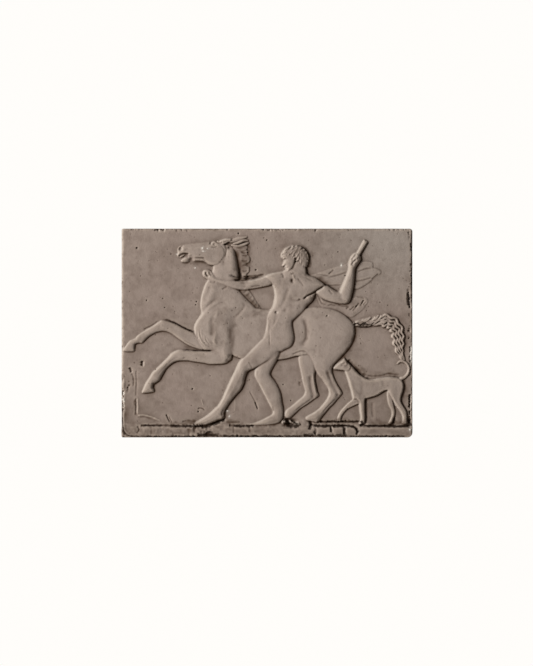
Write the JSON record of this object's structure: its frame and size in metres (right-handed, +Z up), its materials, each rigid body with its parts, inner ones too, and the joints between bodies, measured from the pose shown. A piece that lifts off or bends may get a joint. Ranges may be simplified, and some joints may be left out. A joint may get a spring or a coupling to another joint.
{
  "type": "plaster relief plaque",
  "caption": "Rectangular plaster wall plaque in low relief: a youth restrains a rearing horse, with a flying cloak and a hound.",
  "frame": {"origin": "middle of the flat back, on the plane that lies against the wall", "axes": "+X along the plaque's width to the right as seen from the front, +Y through the back into the wall, +Z up; the carved front faces -Y"},
  "size_m": [0.45, 0.0372, 0.323],
  "materials": {
    "plaster": "matt warm grey plaster with a brown wash left in the hollows and paler crests"
  },
  "bodies": {
    "root": {"relief_plaque": "plaster"}
  },
  "joints": []
}
